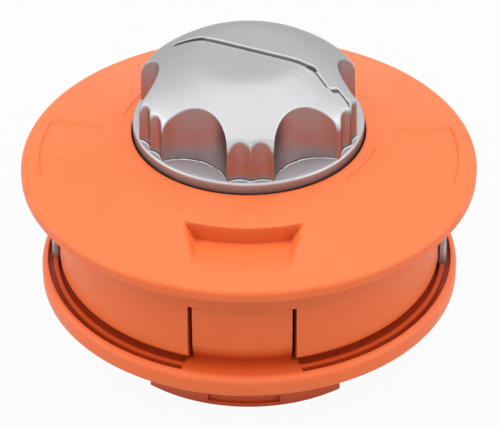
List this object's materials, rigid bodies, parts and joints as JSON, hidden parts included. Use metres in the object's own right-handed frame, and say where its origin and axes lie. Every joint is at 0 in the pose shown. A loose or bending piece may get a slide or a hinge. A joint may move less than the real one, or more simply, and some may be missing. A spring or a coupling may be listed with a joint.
{
  "type": "bump feed trimmer head",
  "caption": "Round grass trimmer line head: orange nylon cover and drive housing around a sprung line spool, with a lobed cast aluminium bump knob that turns to wind the line.",
  "frame": {"origin": "centre of the footprint on the plane of the feet, on the spin axis", "axes": "+Z along the spin axis towards the knob, eyelets on -X and +X, latches on -Y and +Y"},
  "size_m": [0.125, 0.125, 0.0865],
  "materials": {
    "orange_nylon": "fine moulded satin",
    "cast_aluminium": "tumbled die casting, satin",
    "eyelet_aluminium": "turned, satin",
    "steel": "zinc plated",
    "spool_nylon": "fine moulded satin"
  },
  "bodies": {
    "casing": {"drive_housing": "orange_nylon", "cover": "orange_nylon", "arbor_nut": "steel", "eyelet_left": "eyelet_aluminium", "eyelet_right": "eyelet_aluminium", "spring": "steel"},
    "slider": {"thrust_washer": "steel"},
    "winder": {"spool": "spool_nylon", "bump_knob": "cast_aluminium", "knob_screws": "steel"}
  },
  "joints": [
    {"name": "bump", "type": "slide", "parent": "casing", "child": "slider", "axis": [0, 0, -1], "range_m": [-0.002, 0.004], "stiffness_N_per_m": 2000, "springref_m": -0.0013, "deforming": ["spring"]},
    {"name": "winding", "type": "hinge", "parent": "slider", "child": "winder", "pos_m": [0, 0, 0.03], "axis": [0, 0, 1], "continuous": true}
  ]
}
